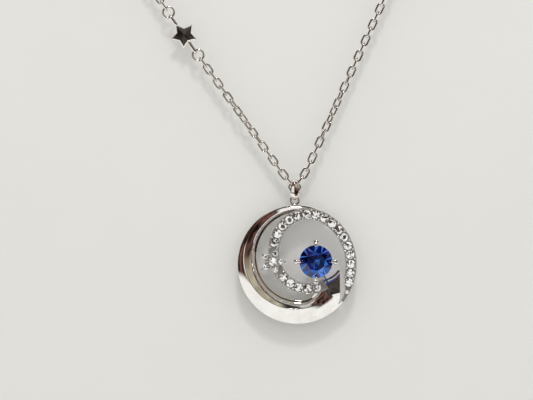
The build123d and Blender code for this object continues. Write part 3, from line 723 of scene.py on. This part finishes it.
def star_mesh():
    """Bevelled star with a shallow floor inside its rim, and small grains between the stones."""
    centre = star_centre()

    def level(inset, depth):
        outline = star_points(STAR_TIP_R - inset * TIP_INSET, STAR_NOTCH_R - inset * NOTCH_INSET, centre)
        return [front(p, depth) for p in outline]

    shape = Shape().loft([
        level(0.0, STAR_BACK),
        level(0.0, STAR_FRONT - STAR_BEVEL),
        level(STAR_BEVEL_TOP, STAR_FRONT),
        level(STAR_RIM_INNER, STAR_FRONT),
        level(STAR_FLOOR_EDGE, STAR_FRONT - STAR_FLOOR),
    ])
    for i in range(5):
        grain = polar(STAR_GRAIN_AT, 36.0 + 72.0 * i, centre)
        shape.ball(front(grain, STAR_FRONT), STAR_GRAIN_R)
    return shape.mesh("star_plate_look")


def star_stones_mesh():
    shape = Shape()
    for point, size in star_seats():
        add_stone(shape, point, STAR_FRONT, size)
    return shape.mesh("star_stones_look")


# ---------------------------------------------------------------- centre stone and basket
def gem_centre():
    at = middle("centre_stone")
    return at.x, at.z


def gem_mesh():
    x, z = gem_centre()
    at = Vector((x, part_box("centre_stone")[0].y / MM + GEM_CROWN, z))
    corners = brilliant_points(
        GEM_R, GEM_CROWN, GEM_PAVILION, GEM_EDGE, GEM_TABLE_R, GEM_GIRDLE, GEM_TURN
    )
    return Shape().hull([at + c for c in corners]).mesh("centre_stone_look")


def claw_path(turn):
    """Centreline and radii of a claw: up from the gallery, over a ball shoulder, onto the stone."""
    centre = gem_centre()
    path, radii = [], []
    for (r0, d0, w0), (r1, d1, w1) in zip(CLAW_STOPS, CLAW_STOPS[1:]):
        for step in range(CLAW_STEPS):
            t = step / CLAW_STEPS
            path.append(Vector(front(polar(r0 + (r1 - r0) * t, turn, centre), d0 + (d1 - d0) * t)))
            radii.append(w0 + (w1 - w0) * t)
    return path, radii


def basket_mesh():
    centre = gem_centre()
    shape = Shape()
    shape.torus(front(centre, GALLERY_DEPTH), (1, 0, 0), (0, 0, 1), GALLERY_R, GALLERY_WIRE)
    for turn in CLAW_TURNS:
        path, radii = claw_path(turn)
        shape.tube(path, radii)
        shape.ball(front(polar(CLAW_BALL_AT, turn, centre), CLAW_BALL_DEPTH), CLAW_BALL_R)
        shape.ball(front(polar(CLAW_TIP_AT, turn, centre), CLAW_TIP_DEPTH), CLAW_TIP_R)
    top = front(polar(GALLERY_R, BRIDGE_AT, centre), BRIDGE_TOP_DEPTH)
    foot = front(polar(BRIDGE_REACH, BRIDGE_AT, centre), BRIDGE_FOOT_DEPTH)
    shape.tube([top, (Vector(top) + Vector(foot)) / 2, foot], [BRIDGE_R] * 3)
    melt = ("REMESH", {"mode": "VOXEL", "voxel_size": BASKET_VOXEL, "use_smooth_shade": True})
    soften = ("SMOOTH", {"factor": BASKET_SMOOTHING, "iterations": BASKET_PASSES})
    return reworked(shape.mesh("stone_basket_look"), [melt, soften])


# ---------------------------------------------------------------- bail
def signed_power(value, power):
    return math.copysign(abs(value) ** power, value)


def bail_mesh():
    """Ribbon bent into a long loop, its outer face sloping to either side of a soft ridge."""
    at_x = middle("bail").x
    low, high = BAIL_FOOT_Z - BAIL_FOOT_R, BAIL_TOP_Z + BAIL_HOLE_R
    centre_z, half_high = (low + high) / 2, (high - low) / 2
    rings = []
    for i in range(BAIL_STEPS):
        a = 2 * math.pi * i / BAIL_STEPS
        across = signed_power(math.cos(a), 2 / BAIL_SQUARENESS)
        along = signed_power(math.sin(a), 2 / BAIL_SQUARENESS)
        out_y = signed_power(across, BAIL_SQUARENESS - 1) / BAIL_HOLE_R
        out_z = signed_power(along, BAIL_SQUARENESS - 1) / half_high
        length = math.hypot(out_y, out_z)
        y, z = BAIL_HOLE_R * across, centre_z + half_high * along
        half = interpolate(BAIL_WIDTHS, z) / 2
        face = []
        for j in range(BAIL_ACROSS):
            u = -1.0 + 2.0 * j / (BAIL_ACROSS - 1)
            chamfer = max(0.0, (abs(u) - BAIL_CHAMFER_FROM) / (1.0 - BAIL_CHAMFER_FROM))
            fall = BAIL_FALL * math.hypot(u, BAIL_RIDGE) + BAIL_CHAMFER * chamfer
            face.append((u * half, BAIL_THICK * (1.0 - fall)))
        for u in (1.0, 0.0, -1.0):
            face.append((u * half * BAIL_INNER_SHARE, 0.0))
        ring = []
        for x, lift in face:
            lift /= length
            ring.append((at_x + x, -CHAIN_DEPTH + y + out_y * lift, z + out_z * lift))
        rings.append(ring)
    return Shape().loft(rings, closed=True).mesh("bail_look")


# ---------------------------------------------------------------- star charm
def charm_mesh():
    """Thick star with a bevelled rim, both faces falling to the middle, and a loop at each end."""
    a = math.radians(CHARM_HEADING)
    along, across = Vector((math.cos(a), 0, math.sin(a))), Vector((-math.sin(a), 0, math.cos(a)))
    centre = middle("charm_ring_lower") + along * CHARM_LOWER_REACH

    def level(inset, height, share=1.0):
        tip, notch = CHARM_TIP_R - inset * TIP_INSET, CHARM_NOTCH_R - inset * NOTCH_INSET
        outline = star_points(tip * share, notch * share)
        return [centre + along * x + across * z + Vector((0, height, 0)) for x, z in outline]

    half = CHARM_THICK / 2
    shape = Shape().loft([
        level(CHARM_RIM, half - CHARM_DISH, CHARM_MIDDLE),
        level(CHARM_RIM, half),
        level(CHARM_BEVEL, half),
        level(0.0, half - CHARM_BEVEL_HEIGHT),
        level(0.0, CHARM_BEVEL_HEIGHT - half),
        level(CHARM_BEVEL, -half),
        level(CHARM_RIM, -half),
        level(CHARM_RIM, CHARM_DISH - half, CHARM_MIDDLE),
    ])
    ends = ((1, CHARM_UPPER_REACH, CHARM_UPPER_ROOT), (-1, CHARM_LOWER_REACH, CHARM_LOWER_ROOT))
    radius = (CHARM_LOOP_WIDTH - CHARM_LOOP_WIRE) / 2
    for sign, reach, root in ends:
        end = reach - CHARM_RING_R + CHARM_RING_WIRE / 2 + CHARM_LOOP_WIRE + CHARM_PLAY
        straight = (end - root - CHARM_LOOP_WIDTH) / 2
        at = centre + along * sign * (end + root) / 2
        shape.bend(at, along, (0, 1, 0), radius, straight, CHARM_LOOP_WIRE, CHARM_LOOP_BAND)
    return shape.mesh("star_charm_look")


# ---------------------------------------------------------------- pieces
piece("crescent_look", crescent_mesh(), POLISHED, "pendant", "crescent")
piece("pave_band_look", band_mesh(), BRIGHT_CUT, "pendant", "pave_band")
piece("pave_stones_look", band_stones_mesh(), CLEAR, "pendant", "pave_stones", FACETED)
piece("star_plate_look", star_mesh(), BRIGHT_CUT, "pendant", "star_plate", STAR_SHARP)
piece("star_stones_look", star_stones_mesh(), CLEAR, "pendant", "star_stones", FACETED)
piece("stone_basket_look", basket_mesh(), POLISHED, "pendant", "stone_basket", SOFT)
piece("centre_stone_look", gem_mesh(), BLUE, "pendant", "centre_stone", FACETED)
piece("bail_look", bail_mesh(), POLISHED, "bail", "bail")
piece("star_charm_look", charm_mesh(), POLISHED, "charm", "star_charm", STAR_SHARP)

# The rings, links, clasp and drop keep their CAD shape and take the material of their slot.
SLOTS = {part["node"]: part["material_slot"] for part in frame["record"]["subparts"]}
for node_name, node in frame["nodes"].items():
    if node.hide_render:
        continue
    node.data.materials.clear()
    if node_name == "clasp_spring":
        node.data.materials.append(SPRING)
    else:
        node.data.materials.append(CHAIN if SLOTS[node_name] == "chain_silver" else POLISHED)


# ---------------------------------------------------------------- stage, light and camera
def card_material():
    """Matt pale card that is only there when seen from the front."""
    material, n = new_material("pale_card")
    place = n.add("ShaderNodeTexCoord").outputs["Object"]
    tone = n.mixed(n.noise(place, 60.0, 3.0), CARD_TINT, CARD_SHADE)
    grain = n.add("ShaderNodeBump")
    grain.inputs["Strength"].default_value = 0.15
    grain.inputs["Distance"].default_value = CARD_GRAIN * MM
    n.link(n.noise(place, 2500.0, 2.0), grain.inputs["Height"])
    face = n.add("ShaderNodeBsdfDiffuse")
    n.link(tone, face.inputs["Color"])
    n.link(grain.outputs["Normal"], face.inputs["Normal"])
    clear = n.add("ShaderNodeBsdfTransparent")
    behind = n.add("ShaderNodeNewGeometry").outputs["Backfacing"]
    both = n.stacked(behind, face.outputs["BSDF"], clear.outputs["BSDF"])
    n.link(both, n.add("ShaderNodeOutputMaterial").inputs["Surface"])
    return material


def stage_quad(name, corners, material):
    mesh = bpy.data.meshes.new(name)
    mesh.from_pydata([Vector(c) * MM for c in corners], [], [(0, 1, 2, 3)])
    mesh.materials.append(material)
    obj = bpy.data.objects.new(name, mesh)
    bpy.context.scene.collection.objects.link(obj)
    obj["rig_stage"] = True
    return obj


def stay_behind(card):
    """Moves the card back when a pose brings the necklace further back than it is at rest."""
    pieces = [o for o in bpy.context.scene.objects if o.type == "MESH" and not o.get("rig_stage")]
    tree = bpy.data.node_groups.new("stay_behind", "GeometryNodeTree")
    for way in ("INPUT", "OUTPUT"):
        tree.interface.new_socket("Geometry", in_out=way, socket_type="NodeSocketGeometry")
    n = Nodes(tree)
    boxes = n.add("GeometryNodeJoinGeometry")
    for obj in pieces:
        info = n.add("GeometryNodeObjectInfo", transform_space="RELATIVE")
        info.inputs["Object"].default_value = obj
        box = n.add("GeometryNodeBoundBox")
        n.link(info.outputs["Geometry"], box.inputs["Geometry"])
        n.link(box.outputs["Bounding Box"], boxes.inputs["Geometry"])
    whole = n.add("GeometryNodeBoundBox")
    n.link(boxes.outputs["Geometry"], whole.inputs["Geometry"])
    furthest = n.add("ShaderNodeSeparateXYZ")
    n.link(whole.outputs["Max"], furthest.inputs["Vector"])
    beyond = n.maths("SUBTRACT", furthest.outputs["Y"], START_BOUNDS[1][1])
    offset = n.add("ShaderNodeCombineXYZ")
    n.link(n.maths("MAXIMUM", beyond, 0.0), offset.inputs["Y"])
    move = n.add("GeometryNodeSetPosition")
    n.link(n.add("NodeGroupInput").outputs["Geometry"], move.inputs["Geometry"])
    n.link(offset.outputs["Vector"], move.inputs["Offset"])
    n.link(move.outputs["Geometry"], n.add("NodeGroupOutput").inputs["Geometry"])
    card.modifiers.new("stay_behind", "NODES").node_group = tree


def area_light(name, at, aim, size, watts, tint):
    data = bpy.data.lights.new(name, "AREA")
    data.shape = "DISK"
    data.size = size * MM
    data.energy = watts
    data.color = tint
    obj = bpy.data.objects.new(name, data)
    obj.location = Vector(at) * MM
    obj.rotation_euler = (Vector(aim) - Vector(at)).to_track_quat("-Z", "Y").to_euler()
    bpy.context.scene.collection.objects.link(obj)
    obj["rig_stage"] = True


def studio_world():
    """Pale behind everything; for reflections a dark room with a bright table and ceiling."""
    world = bpy.data.worlds.new("studio")
    world.use_nodes = True
    bpy.context.scene.world = world
    n = Nodes(world.node_tree)
    direction = n.add("ShaderNodeTexCoord").outputs["Generated"]
    parts = n.add("ShaderNodeSeparateXYZ")
    n.link(direction, parts.inputs["Vector"])
    x, y, z = (parts.outputs[key] for key in "XYZ")

    # Bright table below, seen by the outer flank at a shallower angle than by the inner one.
    below = n.ramp(n.maths("ADD", z, n.product(x, 0.4)), -0.56, -0.66)
    table = n.product(n.ramp(z, -0.22, -0.31), n.ramp(y, -0.52, -0.46))
    ceiling = n.product(n.ramp(z, 0.72, 0.86), n.ramp(y, -0.36, -0.22))
    bright = n.maths("MAXIMUM", n.maths("MAXIMUM", below, table), ceiling)
    # Cream wall up to the right, and a window on the left.
    upper_right = n.maths("ADD", n.product(x, 0.6), n.product(z, 0.8))
    wall = n.product(n.ramp(upper_right, 0.38, 0.55), n.ramp(y, -0.50, -0.60))
    level = n.ramp(n.maths("ABSOLUTE", z, 0.0), 0.30, 0.20)
    window = n.product(n.product(n.ramp(x, -0.40, -0.50), n.ramp(y, -0.55, -0.65)), level)
    # Dark elsewhere: grey straight in front, black and red-brown to the sides.
    stretch = n.add("ShaderNodeMapping")
    stretch.inputs["Scale"].default_value = (3.0, 3.0, 0.8)
    n.link(direction, stretch.inputs["Vector"])
    patches = n.noise(stretch.outputs["Vector"], 2.2, 3.0)
    brown = n.mixed(n.ramp(patches, 0.48, 0.55), (0.006, 0.005, 0.005), (0.20, 0.095, 0.070))
    grey = n.mixed(n.ramp(patches, 0.40, 0.62), (0.012, 0.010, 0.009), (0.088, 0.076, 0.066))
    dark = n.mixed(n.ramp(n.maths("ABSOLUTE", x, 0.0), 0.25, 0.45), grey, brown)
    cream = n.mixed(n.ramp(patches, 0.40, 0.60), (0.30, 0.27, 0.20), (0.62, 0.58, 0.46))
    room = n.mixed(wall, dark, cream)
    room = n.mixed(window, room, (0.90, 0.90, 0.88))
    room = n.mixed(bright, room, (1.0, 0.99, 0.97))

    seen = n.add("ShaderNodeBackground")
    seen.inputs["Color"].default_value = (*BACKDROP, 1.0)
    mirrored = n.add("ShaderNodeBackground")
    n.link(room, mirrored.inputs["Color"])
    ambient = n.add("ShaderNodeBackground")
    ambient.inputs["Color"].default_value = (*AMBIENT, 1.0)
    # The card and the stones' painted flash facets are lit evenly, whatever the metal mirrors.
    rays = n.add("ShaderNodeLightPath").outputs
    shown = n.stacked(rays["Is Camera Ray"], mirrored.outputs["Background"], seen.outputs["Background"])
    scattered = n.maths("MINIMUM", rays["Diffuse Depth"], 1.0)
    lighting = n.maths("MAXIMUM", rays["Is Diffuse Ray"], scattered)
    both = n.stacked(lighting, shown, ambient.outputs["Background"])
    n.link(both, n.add("ShaderNodeOutputWorld").inputs["Surface"])


pale = card_material()
lowest, highest = [Vector(c) / MM for c in START_BOUNDS]
card_y, floor_z = highest.y + CARD_GAP, lowest.z - FLOOR_BELOW
mid_x, card_top = (lowest.x + highest.x) / 2, highest.z + CARD_ABOVE
half_card, half_floor = CARD_WIDTH / 2, FLOOR_SIZE / 2
card = stage_quad("card", [
    (mid_x - half_card, card_y, floor_z), (mid_x + half_card, card_y, floor_z),
    (mid_x + half_card, card_y, card_top), (mid_x - half_card, card_y, card_top),
], pale)
stay_behind(card)
floor = stage_quad("floor", [
    (mid_x - half_floor, -half_floor, floor_z), (mid_x + half_floor, -half_floor, floor_z),
    (mid_x + half_floor, half_floor, floor_z), (mid_x - half_floor, half_floor, floor_z),
], pale)
# The metal mirrors the room that the world describes, not this plain floor.
floor.visible_glossy = False
floor.visible_transmission = False
area_light("key", KEY_AT, (0.0, 0.0, 0.0), KEY_SIZE, KEY_WATTS, KEY_TINT)
studio_world()

camera_data = bpy.data.cameras.new("camera")
camera_data.sensor_width = SENSOR
camera_data.lens = SENSOR * VIEW_DISTANCE / VIEW_WIDTH
camera_data.clip_start, camera_data.clip_end = CLIP
camera = bpy.data.objects.new("camera", camera_data)
camera.location = Vector((VIEW_AIM[0], -VIEW_DISTANCE, VIEW_AIM[1])) * MM
camera.rotation_euler = (math.radians(90.0), 0.0, 0.0)
bpy.context.scene.collection.objects.link(camera)
bpy.context.scene.camera = camera
bpy.context.scene.view_settings.view_transform = "Standard"
